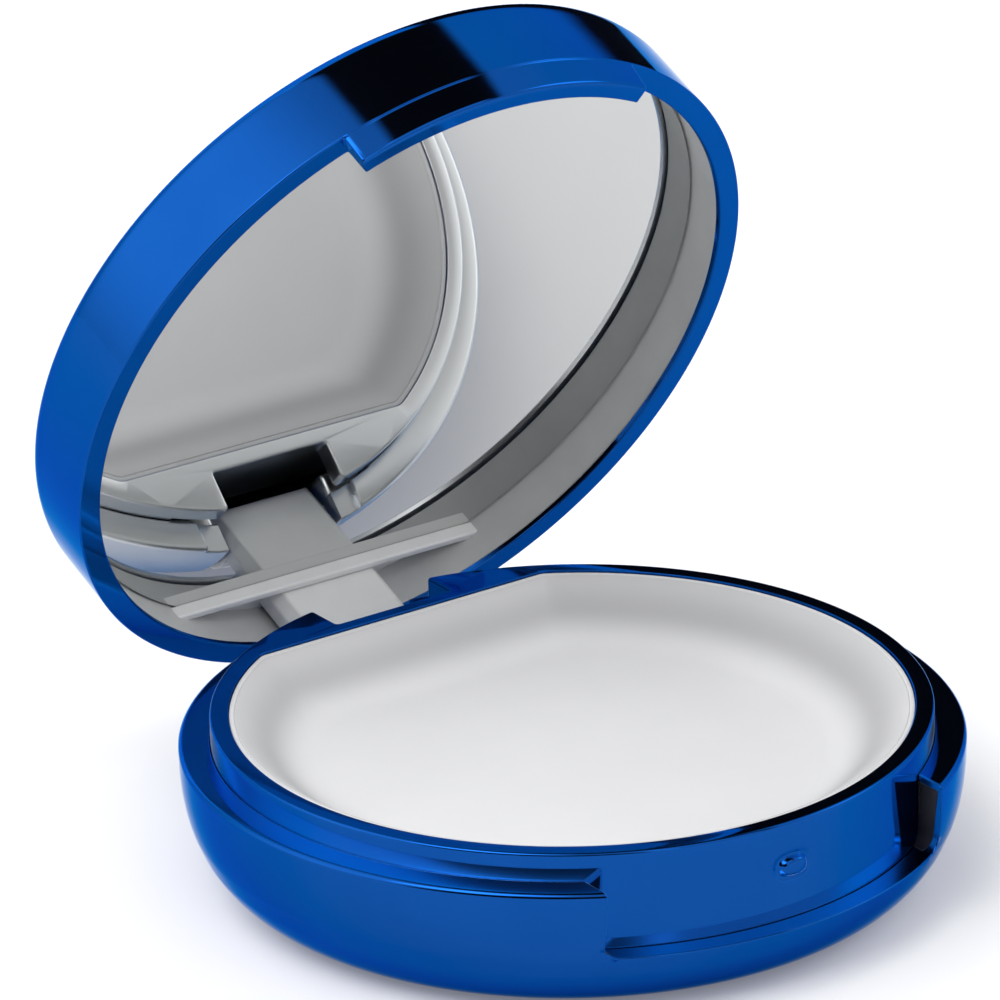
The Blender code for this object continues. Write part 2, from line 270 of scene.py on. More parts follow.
def rounding(edge, start, end, steps):
    """Steps along a rounded edge as (how far in, how far down from the top), angles from its wall."""
    angles = [math.radians(a) for a in spread(start, end, steps)]
    return [(edge * (1 - math.cos(a)), edge * (1 - math.sin(a))) for a in angles]


def level(outline, z):
    """An outline's points at one height."""
    return [(x, y, z) for x, y in outline]


def on_circle(radius, angle, z):
    """A point on a circle, at an angle from -Y."""
    return (radius * math.sin(angle), -radius * math.cos(angle), z)


def pairs(points):
    """Each item with the next one."""
    return list(zip(points, points[1:]))


def ring_of(bm, points):
    """New vertices at points."""
    return [bm.verts.new(p) for p in points]


def skin(bm, first, second, closed=True):
    """Quads between two rings of as many vertices."""
    count = len(first)
    for i in range(count if closed else count - 1):
        j = (i + 1) % count
        corners = list(dict.fromkeys((first[i], first[j], second[j], second[i])))
        if len(corners) > 2:
            bm.faces.new(corners)


def skins(bm, rings):
    """Quads from each ring to the next."""
    for one, two in pairs(rings):
        skin(bm, one, two)


def loft(bm, loops, capped=True):
    """Rings of 3-D points joined one to the next, closed at both ends if capped. Returns the vertices."""
    rings = [ring_of(bm, loop) for loop in loops]
    skins(bm, rings)
    if capped:
        bm.faces.new(rings[0])
        bm.faces.new(rings[-1])
    return rings


def turned(bm, profile, turn):
    """Rings of a profile of (radius, height) points at angles from -Y. A point on the axis is one vertex."""
    rings = []
    for radius, height in profile:
        if radius == 0:
            rings.append([bm.verts.new((0, 0, height))] * len(turn))
        else:
            rings.append(ring_of(bm, [on_circle(radius, a, height) for a in turn]))
    return rings


def d_outline(shape, inset=0, steps=220, corner_steps=8):
    """A circle cut off by a chord at +Y, its corners rounded, as (radius, chord, corner), moved inwards."""
    radius, chord, corner = (value - inset for value in shape)
    x = math.sqrt((radius - corner) ** 2 - (chord - corner) ** 2)
    tangent = math.degrees(math.atan2(chord - corner, x))
    return (arc((0, 0), radius, -180 - tangent, tangent, steps)
            + arc((x, chord - corner), corner, tangent, 90, corner_steps)[1:]
            + arc((-x, chord - corner), corner, 90, 180 - tangent, corner_steps)[:-1])


def fill_between(bm, *rings):
    """A flat face bounded by rings, the first of them the outer one."""
    edges = []
    for ring in rings:
        for one, two in zip(ring, ring[1:] + ring[:1]):
            edges.append(bm.edges.get((one, two)) or bm.edges.new((one, two)))
    bmesh.ops.triangle_fill(bm, use_beauty=True, use_dissolve=False, edges=edges)


def box(bm, lowest, highest):
    """A box between two corners."""
    x0, y0, z0 = lowest
    x1, y1, z1 = highest
    outline = [(x0, y0), (x1, y0), (x1, y1), (x0, y1)]
    loft(bm, [level(outline, z) for z in (z0, z1)])


def weigh(bm, edges, weight):
    """Gives the edges between pairs of vertices a weight for the fillets."""
    layer = bm.edges.layers.float.get("bevel_weight_edge") or bm.edges.layers.float.new("bevel_weight_edge")
    for pair in edges:
        bm.edges.get(pair)[layer] = weight


def cut_with(obj, cutter_bm, place):
    """Takes the cutter's shape out of a piece for good."""
    bmesh.ops.recalc_face_normals(cutter_bm, faces=cutter_bm.faces)
    mesh = bpy.data.meshes.new("cutter")
    cutter_bm.to_mesh(mesh)
    cutter_bm.free()
    mesh.transform(place)
    cutter = bpy.data.objects.new("cutter", mesh)
    bpy.context.scene.collection.objects.link(cutter)
    modifier = obj.modifiers.new("cut", "BOOLEAN")
    modifier.operation = "DIFFERENCE"
    modifier.solver = "EXACT"
    modifier.object = cutter
    bpy.context.view_layer.update()
    with bpy.context.temp_override(object=obj, active_object=obj, selected_objects=[obj]):
        bpy.ops.object.modifier_apply(modifier=modifier.name)
    bpy.data.objects.remove(cutter)


# ---------------------------------------------------------------- node helpers

def new_material(name):
    """A material with its node tree and its shader."""
    material = bpy.data.materials.new(name)
    material.use_nodes = True
    tree = material.node_tree
    return material, tree, tree.nodes["Principled BSDF"]


def put(tree, socket, value):
    """Sets a socket to a number or a colour, or links another node's output to it."""
    if isinstance(value, bpy.types.NodeSocket):
        tree.links.new(value, socket)
    elif isinstance(value, tuple):
        socket.default_value = (*value, 1)
    else:
        socket.default_value = value


def map_range(tree, value, from_ends, to_ends=(0, 1), smooth=False):
    """Maps the range of a value to another range, with soft ends if smooth."""
    node = tree.nodes.new("ShaderNodeMapRange")
    if smooth:
        node.interpolation_type = "SMOOTHSTEP"
    for socket, number in zip(("From Min", "From Max", "To Min", "To Max"), (*from_ends, *to_ends)):
        node.inputs[socket].default_value = number
    tree.links.new(value, node.inputs["Value"])
    return node.outputs["Result"]


def math_node(tree, operation, one, two):
    node = tree.nodes.new("ShaderNodeMath")
    node.operation = operation
    put(tree, node.inputs[0], one)
    put(tree, node.inputs[1], two)
    return node.outputs[0]


def mix_numbers(tree, factor, one, two):
    node = tree.nodes.new("ShaderNodeMix")
    put(tree, node.inputs["Factor"], factor)
    put(tree, node.inputs["A"], one)
    put(tree, node.inputs["B"], two)
    return node.outputs["Result"]


def mix_colours(tree, factor, one, two):
    """A Mix node set to colours: its inputs 6 and 7 and its output 2 are the colour ones."""
    node = tree.nodes.new("ShaderNodeMix")
    node.data_type = "RGBA"
    put(tree, node.inputs["Factor"], factor)
    put(tree, node.inputs[6], one)
    put(tree, node.inputs[7], two)
    return node.outputs[2]


def noise(tree, scale, detail, ends=(0, 1), stretch=None):
    """Noise in object coordinates, scale in cells per metre, its middle range spread over the ends."""
    where = tree.nodes.new("ShaderNodeTexCoord").outputs["Object"]
    if stretch:
        mapping = tree.nodes.new("ShaderNodeMapping")
        mapping.inputs["Scale"].default_value = stretch
        tree.links.new(where, mapping.inputs["Vector"])
        where = mapping.outputs["Vector"]
    texture = tree.nodes.new("ShaderNodeTexNoise")
    texture.inputs["Scale"].default_value = scale
    texture.inputs["Detail"].default_value = detail
    texture.inputs["Roughness"].default_value = 0.5
    tree.links.new(where, texture.inputs["Vector"])
    if ends is None:
        return texture.outputs["Fac"]
    return map_range(tree, texture.outputs["Fac"], (0.3, 0.7), ends)


def mottled(tree, scale, detail, one, two):
    """A colour that wanders between two."""
    return mix_colours(tree, noise(tree, scale, detail), one, two)


def bump(tree, shader, scale, detail, strength, distance):
    """A fine unevenness of the surface."""
    node = tree.nodes.new("ShaderNodeBump")
    node.inputs["Strength"].default_value = strength
    node.inputs["Distance"].default_value = distance
    tree.links.new(noise(tree, scale, detail, None), node.inputs["Height"])
    tree.links.new(node.outputs["Normal"], shader.inputs["Normal"])


# ---------------------------------------------------------------- materials

def blue_lacquer(name):
    """Bright metallised plastic under blue lacquer, with a painted reflection: wherever it is seen in a
    reflection, it shows bright grey silver with a softer gloss instead of its blue.
    """
    material, tree, shader = new_material(name)
    mirrored = tree.nodes.new("ShaderNodeLightPath").outputs["Is Glossy Ray"]
    blue = mottled(tree, 160, 2.0, (0.004, 0.066, 0.305), (0.005, 0.072, 0.32))
    # painted reflection: grey silver that takes the place of the blue wherever the lacquer is seen in a
    # reflection
    painted_reflection_grey = (0.86, 0.87, 0.88)
    polish = noise(tree, 900, 4.0, (0.045, 0.075))
    put(tree, shader.inputs["Base Color"], mix_colours(tree, mirrored, blue, painted_reflection_grey))
    put(tree, shader.inputs["Roughness"], mix_numbers(tree, mirrored, polish, 0.28))
    shader.inputs["Metallic"].default_value = 1.0
    shader.inputs["Specular Tint"].default_value = (0.25, 0.5, 0.9, 1)
    shader.inputs["Coat Weight"].default_value = 0.03
    shader.inputs["Coat Roughness"].default_value = 0.5
    bump(tree, shader, 500, 2.0, 0.08, 0.00003)
    return material


def grey_plastic(name, shade):
    """Satin grey moulded plastic with a little silver in it."""
    material, tree, shader = new_material(name)
    dark = (shade - 0.02, shade - 0.01, shade - 0.01)
    light = (shade + 0.02, shade + 0.03, shade + 0.03)
    put(tree, shader.inputs["Base Color"], mottled(tree, 420, 3.0, dark, light))
    put(tree, shader.inputs["Roughness"], noise(tree, 1500, 4.0, (0.32, 0.42)))
    shader.inputs["Metallic"].default_value = 0.05
    bump(tree, shader, 2400, 3.0, 0.15, 0.00002)
    return material


def painted_shade_black(name):
    """A nearly black, dull surface: painted shade for faces that show almost no light."""
    material, tree, shader = new_material(name)
    colour = mottled(tree, 500, 2.0, (0.004, 0.005, 0.012), (0.006, 0.007, 0.016))
    put(tree, shader.inputs["Base Color"], colour)
    put(tree, shader.inputs["Roughness"], noise(tree, 1500, 3.0, (0.4, 0.5)))
    shader.inputs["Specular IOR Level"].default_value = 0.2
    return material


def white_plastic(name):
    material, tree, shader = new_material(name)
    put(tree, shader.inputs["Base Color"], mottled(tree, 500, 2.0, (0.70, 0.70, 0.71), (0.73, 0.73, 0.74)))
    put(tree, shader.inputs["Roughness"], noise(tree, 1500, 3.0, (0.28, 0.36)))
    bump(tree, shader, 2400, 2.0, 0.1, 0.00002)
    return material


def white_balm(name):
    """White balm, greyed by painted shade on the dish wall between its rim and its floor."""
    material, tree, shader = new_material(name)
    white = mottled(tree, 120, 3.0, (0.755, 0.755, 0.765), (0.78, 0.78, 0.79))
    split = tree.nodes.new("ShaderNodeSeparateXYZ")
    tree.links.new(tree.nodes.new("ShaderNodeTexCoord").outputs["Object"], split.inputs[0])
    height = split.outputs["Z"]
    half = 0.5 * FILL_DISH
    # painted shade: a band of heights over the dish wall mixes the balm towards dark grey, in place of the
    # shade that light gives that wall
    foot = ((FILL_FLOOR_Z + 0.02) * MM, (FILL_FLOOR_Z + half) * MM)
    brow = ((FILL_EDGE_Z - half) * MM, FILL_EDGE_Z * MM)
    rising = map_range(tree, height, foot, (0, 0.38), smooth=True)
    falling = map_range(tree, height, brow, (1, 0.55), smooth=True)
    painted_slope_shade = math_node(tree, "MULTIPLY", rising, falling)
    put(tree, shader.inputs["Base Color"], mix_colours(tree, painted_slope_shade, white, (0.05, 0.055, 0.06)))
    put(tree, shader.inputs["Roughness"], noise(tree, 300, 3.0, (0.42, 0.52)))
    bump(tree, shader, 90, 2.0, 0.15, 0.0001)
    return material


def mirror_silver(name):
    material, tree, shader = new_material(name)
    put(tree, shader.inputs["Base Color"], mottled(tree, 60, 2.0, (0.56, 0.57, 0.57), (0.58, 0.59, 0.59)))
    put(tree, shader.inputs["Roughness"], noise(tree, 200, 3.0, (0.01, 0.03)))
    shader.inputs["Metallic"].default_value = 1.0
    return material


def steel(name):
    """Steel with fine turning lines across its length."""
    material, tree, shader = new_material(name)
    shader.inputs["Base Color"].default_value = (0.55, 0.56, 0.57, 1)
    shader.inputs["Metallic"].default_value = 1.0
    put(tree, shader.inputs["Roughness"], noise(tree, 4000, 2.0, (0.2, 0.35), stretch=(0.05, 1, 1)))
    return material


def tape(name):
    material, tree, shader = new_material(name)
    put(tree, shader.inputs["Base Color"], mottled(tree, 1500, 3.0, (0.72, 0.71, 0.67), (0.78, 0.77, 0.73)))
    shader.inputs["Roughness"].default_value = 0.6
    return material


def repaint(node, material):
    """Gives a CAD node that stays a better material."""
    slots = frame["nodes"][node].data.materials
    slots.clear()
    slots.append(material)


# ---------------------------------------------------------------- base

def bowl_radius(z):
    """Radius of the bowl's outside at a height."""
    rise = min(max(z / (LEDGE_Z - LEDGE_EDGE), 0), 1)
    cos_a = (1 - rise) ** (1 / BOWL_EXPONENT)
    return FOOT_RADIUS + (RADIUS - FOOT_RADIUS) * math.sqrt(1 - cos_a ** 2) ** BOWL_EXPONENT


def columns():
    """Signed places round the bowl: ("front", x), ("back", x) at the hinge, ("turn", share) between."""
    start = NOTCH_X - NOTCH_CORNER
    corner = [start + NOTCH_CORNER * math.sin(math.radians(a)) for a in spread(0, 90, CORNER_STEPS)]
    half = [("front", x) for x in spread(0, start, 30)[:-1] + corner]
    half += [("turn", share) for share in spread(0, 1, 110)[1:-1]]
    half += [("back", x) for x in BACK_COLUMNS]
    other = [(kind, -value) for kind, value in half[1:-1]]
    return half + other[::-1]


def column_angle(column, radius):
    """Angle from -Y of a column on a ring of this radius."""
    kind, value = column
    sign = -1 if value < 0 else 1
    value = abs(value)
    radius = max(radius, BORE - 0.4)
    if kind == "front":
        return sign * math.asin(value / radius)
    if kind == "back":
        return sign * (math.pi - math.asin(value / radius))
    start = math.asin(NOTCH_X / radius)
    end = math.pi - math.asin(RELIEF_X / radius)
    return sign * (start + (end - start) * value)


def bowl_profile():
    """The bowl's section as (radius, height) points, from the foot over the rim to the floor inside.

    With it come two indices: where the outer wall's rows start, lowest first, and the bore's, highest first.
    """
    rises = [NOTCH_CORNER * (1 - math.cos(math.radians(a))) for a in spread(0, 90, CORNER_STEPS)]
    wall_top = LEDGE_Z - LEDGE_EDGE
    walls = [HINGE_SLOT_FLOOR] + [NOTCH_FLOOR + rise for rise in rises]
    walls += [*WALL_ROWS, RELIEF_Z, wall_top]
    lower = [wall_top * (1 - math.cos(math.radians(a)) ** BOWL_EXPONENT) for a in BOWL_TURNS]
    lower = [z for z in lower if z < HINGE_SLOT_FLOOR - 0.15]
    profile = [(FOOT_RADIUS - FOOT_EDGE, 0), (FOOT_RADIUS, 0)]
    outer_start = len(profile) + len(lower)
    profile += [(bowl_radius(z), z) for z in lower + walls]
    profile += arc((RADIUS - LEDGE_EDGE, wall_top), LEDGE_EDGE, 0, 90, 6)[1:]
    profile.append((LEDGE_MIDDLE, LEDGE_Z))
    profile += arc((BORE + BORE_EDGE, LEDGE_Z - BORE_EDGE), BORE_EDGE, 90, 180, 4)
    bore_start = len(profile)
    profile += [(BORE, z) for z in reversed(walls)]
    profile += [(BORE, SHOULDER[1]), SHOULDER]
    for angle in (60, 30, 0):
        across = math.sin(math.radians(angle)) ** BOWL_EXPONENT
        down = math.cos(math.radians(angle)) ** BOWL_EXPONENT
        profile.append((INNER_FLOOR[0] + (SHOULDER[0] - INNER_FLOOR[0]) * across,
                        SHOULDER[1] - (SHOULDER[1] - INNER_FLOOR[1]) * down))
    return profile, outer_start, bore_start


def wall_row(index, outer_start, bore_start):
    """The row of the walls that a band of the skin lies on, one past the last over the rim, or None."""
    if outer_start <= index < outer_start + TOP_ROW:
        return index - outer_start
    if outer_start + TOP_ROW <= index < bore_start:
        return TOP_ROW + 1
    if bore_start <= index < bore_start + TOP_ROW:
        return bore_start + TOP_ROW - 1 - index
    return None


def kept_corners(cell, row, one, two):
    """The corners of a cell of the skin, between two columns, that the notch and the hinge's slot leave."""
    near, far = sorted((abs(one[1]), abs(two[1])))
    if row is None or one[0] != two[0] or one[0] == "turn":
        return cell
    if one[0] == "back":
        return [] if far <= HINGE_SLOT_X or row >= RELIEF_ROW else cell
    if row < FLOOR_ROW:
        return cell
    past_flat = near - (NOTCH_X - NOTCH_CORNER)
    if past_flat < -1e-9 or row >= CORNER_ROW:
        return []
    step = round(math.degrees(math.asin(max(past_flat, 0) / NOTCH_CORNER)) / 90 * CORNER_STEPS)
    if row - FLOOR_ROW != step:
        return cell if row - FLOOR_ROW < step else []
    return outer_half(cell)


def outer_half(cell):
    """The half of a cell below its diagonal, away from the middle of the notch."""
    floor_z = min(v.co.z for v in cell)
    far = max(abs(v.co.x) for v in cell)
    return [v for v in cell if v.co.z < floor_z + 1e-6 or abs(v.co.x) > far - 1e-4]


def notch_path(places):
    """The edge of the thumb notch from rim to rim, as (column, row)."""
    cols = [places[("front", x)] for x in sorted(x for kind, x in places if kind == "front")]
    last = len(cols) - 1
    path = [(cols[0], row) for row in range(TOP_ROW, CORNER_ROW, -1)]
    path += [(c, max(CORNER_ROW - min(i, last - i), FLOOR_ROW)) for i, c in enumerate(cols)]
    return path + [(cols[last], row) for row in range(CORNER_ROW + 1, TOP_ROW + 1)]


def slot_path(places):
    """The edge of the hinge's slot and its relief from rim to rim, as (column, row)."""
    xs = sorted((x for kind, x in places if kind == "back"), reverse=True)
    narrow = [places[("back", x)] for x in xs if abs(x) <= HINGE_SLOT_X]
    path = [(places[("back", xs[0])], row) for row in range(TOP_ROW, RELIEF_ROW, -1)]
    path += [(places[("back", x)], RELIEF_ROW) for x in xs if x > HINGE_SLOT_X]
    path += [(narrow[0], row) for row in range(RELIEF_ROW, 0, -1)]
    path += [(c, 0) for c in narrow]
    path += [(narrow[-1], row) for row in range(1, RELIEF_ROW + 1)]
    path += [(places[("back", x)], RELIEF_ROW) for x in xs if x < -HINGE_SLOT_X]
    return path + [(places[("back", xs[-1])], row) for row in range(RELIEF_ROW + 1, TOP_ROW + 1)]


def base_bowl(material):
    """The outer bowl as one closed skin, with its thumb notch and the slot for the hinge."""
    bm = bmesh.new()
    profile, outer_start, bore_start = bowl_profile()
    cols = columns()
    loops = [[on_circle(radius, column_angle(c, radius), z) for c in cols] for radius, z in profile]
    rings = [ring_of(bm, loop) for loop in loops]
    bm.faces.new(rings[0])
    bm.faces.new(rings[-1])
    for i, (ring, above) in enumerate(pairs(rings)):
        row = wall_row(i, outer_start, bore_start)
        for j, column in enumerate(cols):
            n = (j + 1) % len(cols)
            corners = kept_corners([ring[j], ring[n], above[n], above[j]], row, column, cols[n])
            if corners:
                bm.faces.new(corners)
    places = {column: i for i, column in enumerate(cols)}
    rounded = []
    for path in (notch_path(places), slot_path(places)):
        outer = [rings[outer_start + row][c] for c, row in path]
        inner = [rings[bore_start + TOP_ROW - row][c] for c, row in path]
        skin(bm, outer, inner, closed=False)
        rounded += pairs(outer) + pairs(inner)
        for c in (path[0][0], path[-1][0]):
            strip = [ring[c] for ring in rings[outer_start + TOP_ROW:bore_start + 1]]
            bm.faces.new(strip)
            rounded += pairs(strip)
    weigh(bm, rounded, 1.0)
    bmesh.ops.delete(bm, geom=[v for v in bm.verts if not v.link_faces], context="VERTS")
    obj = finish_mesh("base_bowl", bm, to_base(), material, "base", ["base_shell"])
    bevel(obj, BOWL_EDGE)


def hinge_lugs(material):
    """The two blocks beside the hinge slot that hold the pin's ends."""
    for name, sign in (("left", -1), ("right", 1)):
        bm = bmesh.new()
        near, far = sorted((sign * HINGE_SLOT_X, sign * LUG_X))
        box(bm, (near, LUG_Y, LUG_Z[0]), (far, BORE + 0.1, LUG_Z[1]))
        obj = finish_mesh(f"hinge_lug_{name}", bm, to_base(), material, "base")
        bevel(obj, LUG_EDGE, 4, "ANGLE")


def rim_ends(material):
    """Thin nearly black sheets on the ends of the rim, left and right of the thumb notch, down round its
    lower corner: painted shade where those end walls show black.
    """
    centre = (NOTCH_X - NOTCH_CORNER, NOTCH_FLOOR + NOTCH_CORNER)
    face = arc(centre, NOTCH_CORNER - RIM_END_PROUD, 0, -80, 8)
    back = arc(centre, NOTCH_CORNER + RIM_END_DEPTH, -80, 0, 8)
    face_top = (NOTCH_X - RIM_END_PROUD, RIM_END_TOP)
    back_top = (NOTCH_X + RIM_END_DEPTH, RIM_END_TOP)
    section = [face_top, *face, *back, back_top]
    # painted shade: each end wall gets a thin black sheet standing just proud of it
    for name, sign in (("left", -1), ("right", 1)):
        bm = bmesh.new()
        inner = [(sign * x, -RIM_END_INNER, z) for x, z in section]
        outer = [(sign * x, -RIM_END_OUTER + RIM_END_LEAN * (RIM_END_TOP - z), z) for x, z in section]
        loft(bm, [inner, outer])
        obj = finish_mesh(f"rim_end_{name}", bm, to_base(), material, "base")
        bevel(obj, RIM_END_EDGE, 2, "ANGLE", 60)


def tray_outline(inset):
    """The collar's circle with the hinge slot let into its back, moved inwards by an inset."""
    radius = COLLAR - inset
    half = HINGE_SLOT_X + inset
    ear = EAR_CORNER - inset
    root = SLOT_CORNER + inset
    turn = math.degrees(math.asin((half + ear) / (radius - ear)))
    coarse = [5 + (180 - turn - 5) * i / 150 for i in range(1, 151)]
    fine = [i * 0.2 for i in range(-25, 26)]
    angles = [-a for a in reversed(coarse)] + fine + coarse
    points = [on_circle(radius, math.radians(a), 0)[:2] for a in angles]
    x = half + ear
    y = math.sqrt((radius - ear) ** 2 - x ** 2)
    floor_y = SLOT_FRONT - inset + root
    points += arc((x, y), ear, 90 - turn, 180, 5)[1:]
    points += arc((half - root, floor_y), root, 0, -90, 5)
    points += arc((root - half, floor_y), root, -90, -180, 5)
    points += arc((-x, y), ear, 0, 90 + turn, 5)[:-1]
    return points


def nub_height(x, z):
    """How far the catch stands out of the collar: a raised oval in a faint groove."""
    width, height, depth = NUB_SIZE
    s = (abs(x / width) ** NUB_POWER + abs((z - NUB_Z) / height) ** NUB_POWER) ** (1 / NUB_POWER)
    body = depth * max(0.0, 1 - s ** 4) ** 0.5
    return body - NUB_GROOVE * math.exp(-((s - 1.25) / 0.22) ** 2)


def collar_level(z):
    """The collar's outline at a height, with the catch on its front."""
    loop = []
    for x, y in tray_outline(0):
        out = nub_height(x, z) if y < 0 and abs(x) < 2 else 0
        share = 1 + out / math.hypot(x, y)
        loop.append((x * share, y * share, z))
    return loop


def collar_and_well(material):
    """The blue tray: collar, top face and well."""
    bm = bmesh.new()
    heights = spread(NOTCH_FLOOR, NUB_ROWS[0], 8)[:-1] + spread(*NUB_ROWS, 24)
    heights += spread(NUB_ROWS[1], COLLAR_TOP - COLLAR_EDGE, 6)[1:]
    loops = [collar_level(z) for z in heights]
    loops += [level(tray_outline(i), COLLAR_TOP - d) for i, d in rounding(COLLAR_EDGE, 0, 90, 5)[1:]]
    outside = loft(bm, loops, capped=False)
    bm.faces.new(outside[0])
    loops = [level(d_outline(WELL, -i), COLLAR_TOP - d) for i, d in rounding(WELL_EDGE, 90, 0, 4)]
    loops.append(level(d_outline(WELL), WELL_FLOOR))
    inside = loft(bm, loops, capped=False)
    bm.faces.new(inside[-1])
    fill_between(bm, outside[-1], inside[0])
    obj = finish_mesh("collar_tray", bm, to_base(), material, "base", ["inner_tray"], 40)
    cutter = bmesh.new()
    box(cutter, *SLOT_CUT)
    cut_with(obj, cutter, to_base())
    weighted(obj)


def pan(material):
    """The product's white cup: its rim shows as a thin edge."""
    bm = bmesh.new()
    loops = [level(d_outline(WELL, PAN_GAP), PAN_BOTTOM)]
    for i, d in rounding(PAN_EDGE, 0, 90, 5):
        loops.append(level(d_outline(WELL, PAN_GAP + i), PAN_TOP - d))
    for i, d in rounding(PAN_EDGE, 90, 0, 5):
        loops.append(level(d_outline(WELL, PAN_GAP + PAN_WALL - i), PAN_TOP - d))
    loops.append(level(d_outline(WELL, PAN_GAP + PAN_WALL), PAN_FLOOR))
    loft(bm, loops)
    obj = finish_mesh("balm_pan", bm, to_base(), material, "base", ["product_pan"])
    weighted(obj)


def balm(material):
    """The product, dished towards its middle, with its corners rounder further in."""
    bm = bmesh.new()
    radius, chord, corner = (value - PAN_GAP - PAN_WALL for value in WELL)

    def outline(inset, rounder=0):
        return d_outline((radius - inset, chord - inset, corner + rounder))

    loops = [level(outline(0), FILL_BOTTOM)]
    loops += [level(outline(i), FILL_EDGE_Z - d) for i, d in rounding(FILL_EDGE, 0, 90, 3)[:-1]]
    for share in spread(0, 1, 30):
        drop = FILL_DISH * share ** 1.3 * (2.3 - 1.3 * share)
        loops.append(level(outline(FILL_EDGE + FILL_DISH_WIDTH * share, 3 * share), FILL_EDGE_Z - drop))
    loft(bm, loops)
    finish_mesh("balm_cake", bm, to_base(), material, "base", ["product_fill"])


# ---------------------------------------------------------------- lid

def cap_profile():
    """The cap's section outside, from its rim to the middle of its top."""
    profile = [(RADIUS, z) for z in (0, 0.5, 1.6, 3.0, LID_HEIGHT - LID_CORNER - 0.3)]
    for angle in spread(0, math.pi / 2, 12):
        out = max(math.cos(angle), 0) ** (2 / LID_CORNER_EXPONENT)
        up = math.sin(angle) ** (2 / LID_CORNER_EXPONENT)
        profile.append((RADIUS - LID_CORNER + LID_CORNER * out, LID_HEIGHT - LID_CORNER + LID_CORNER * up))
    return profile + [(RADIUS - 1.4, LID_HEIGHT), (19.5, LID_HEIGHT), (0, LID_HEIGHT)]


def lid_cap(material):
    """The blue cap, with its tab in front."""
    bm = bmesh.new()
    tab = [TAB_HALF_ANGLE * s for s in spread(-1, 1, 60)]
    rest = [TAB_HALF_ANGLE + (2 * math.pi - 2 * TAB_HALF_ANGLE) * s for s in spread(0, 1, 270)][1:-1]
    turn = tab + rest
    outside = turned(bm, cap_profile(), turn)
    inner = [(0, LID_UNDER), (POCKET - POCKET_CORNER, LID_UNDER), (POCKET, LID_UNDER - POCKET_CORNER),
             (POCKET, LIP), (LID_BORE, LIP), (LID_BORE, 0)]
    inside = turned(bm, inner, turn)
    skins(bm, outside)
    skins(bm, inside)
    last = len(tab) - 1
    rim_out = outside[0][last:] + outside[0][:1]
    rim_in = inside[-1][last:] + inside[-1][:1]
    skin(bm, rim_out, rim_in, closed=False)

    root_out = outside[0][:last + 1]
    root_in = inside[-1][:last + 1]
    waist = ring_of(bm, [on_circle(RADIUS - TAB_STEP, a, -TAB_STEP) for a in tab])
    foot_out = ring_of(bm, [on_circle(RADIUS - TAB_TAPER, a, -TAB_DROP) for a in tab])
    foot_in = ring_of(bm, [on_circle(LID_BORE, a, -TAB_DROP) for a in tab])
    for one, two in pairs([root_out, waist, foot_out, foot_in, root_in]):
        skin(bm, one, two, closed=False)
    for i in (0, last):
        bm.faces.new((root_out[i], waist[i], foot_out[i], foot_in[i], root_in[i]))

    weigh(bm, pairs(rim_out), 0.5)
    weigh(bm, pairs(foot_out), 1.0)
    weigh(bm, pairs(rim_in) + pairs(foot_in), 0.5)
    weigh(bm, pairs(root_out) + pairs(waist), 0.3)
    for i in (0, last):
        weigh(bm, [(root_out[i], waist[i]), (waist[i], foot_out[i]), (foot_out[i], foot_in[i])], 0.6)
        weigh(bm, [(root_in[i], foot_in[i]), (root_out[i], root_in[i])], 0.5)
    obj = finish_mesh("lid_cap", bm, to_lid(), material, "lid", ["lid_shell"], 40)
    bevel(obj, LID_EDGE, 4)


def liner_ring(material):
    """The grey ring inside the cap, with the shadow groove round the mirror."""
    bm = bmesh.new()
    profile = [(LINER_RADIUS, LINER_TOP), (LINER_RADIUS, LINER_BOTTOM)]
    profile += arc((LINER_BORE + LINER_EDGE, LINER_BOTTOM + LINER_EDGE), LINER_EDGE, 270, 180, 4)
    profile += [(LINER_BORE, 2.0), (LINER_BORE, MIRROR_FACE + GROOVE),
                (MIRROR[0] + 0.01, MIRROR_FACE + GROOVE + 0.03), (MIRROR[0] + 0.01, LINER_TOP)]
    turn = [2 * math.pi * i / 320 for i in range(320)]
    rings = turned(bm, profile, turn)
    skins(bm, rings + rings[:1])
    obj = finish_mesh("liner_ring", bm, to_lid(), material, "lid", ["lid_liner"])
    weighted(obj)


def liner_bridge(material):
    """The floor behind the mirror's chord and the rib along it."""
    bm = bmesh.new()
    angle = math.degrees(math.asin(BRIDGE_FRONT / BRIDGE_RADIUS))
    outline = arc((0, 0), BRIDGE_RADIUS, angle, 180 - angle, 40)
    loft(bm, [level(outline, z) for z in (BRIDGE_FLOOR, BRIDGE_TOP)])
    rib_back = RIB_FRONT + RIB
    front_x = math.sqrt(BRIDGE_RADIUS ** 2 - RIB_FRONT ** 2)
    back_x = math.sqrt(BRIDGE_RADIUS ** 2 - rib_back ** 2)
    outline = [(-front_x, RIB_FRONT), (front_x, RIB_FRONT), (back_x, rib_back), (-back_x, rib_back)]
    loft(bm, [level(outline, z) for z in (RIB_BOTTOM, MIRROR_FACE + 0.05)])
    box(bm, (-back_x, MIRROR[1] + 0.03, MIRROR_FACE), (back_x, BRIDGE_FRONT + 0.1, BRIDGE_TOP - 0.05))
    obj = finish_mesh("liner_bridge", bm, to_lid(), material, "lid")
    bevel(obj, BRIDGE_EDGE, 3, "ANGLE")


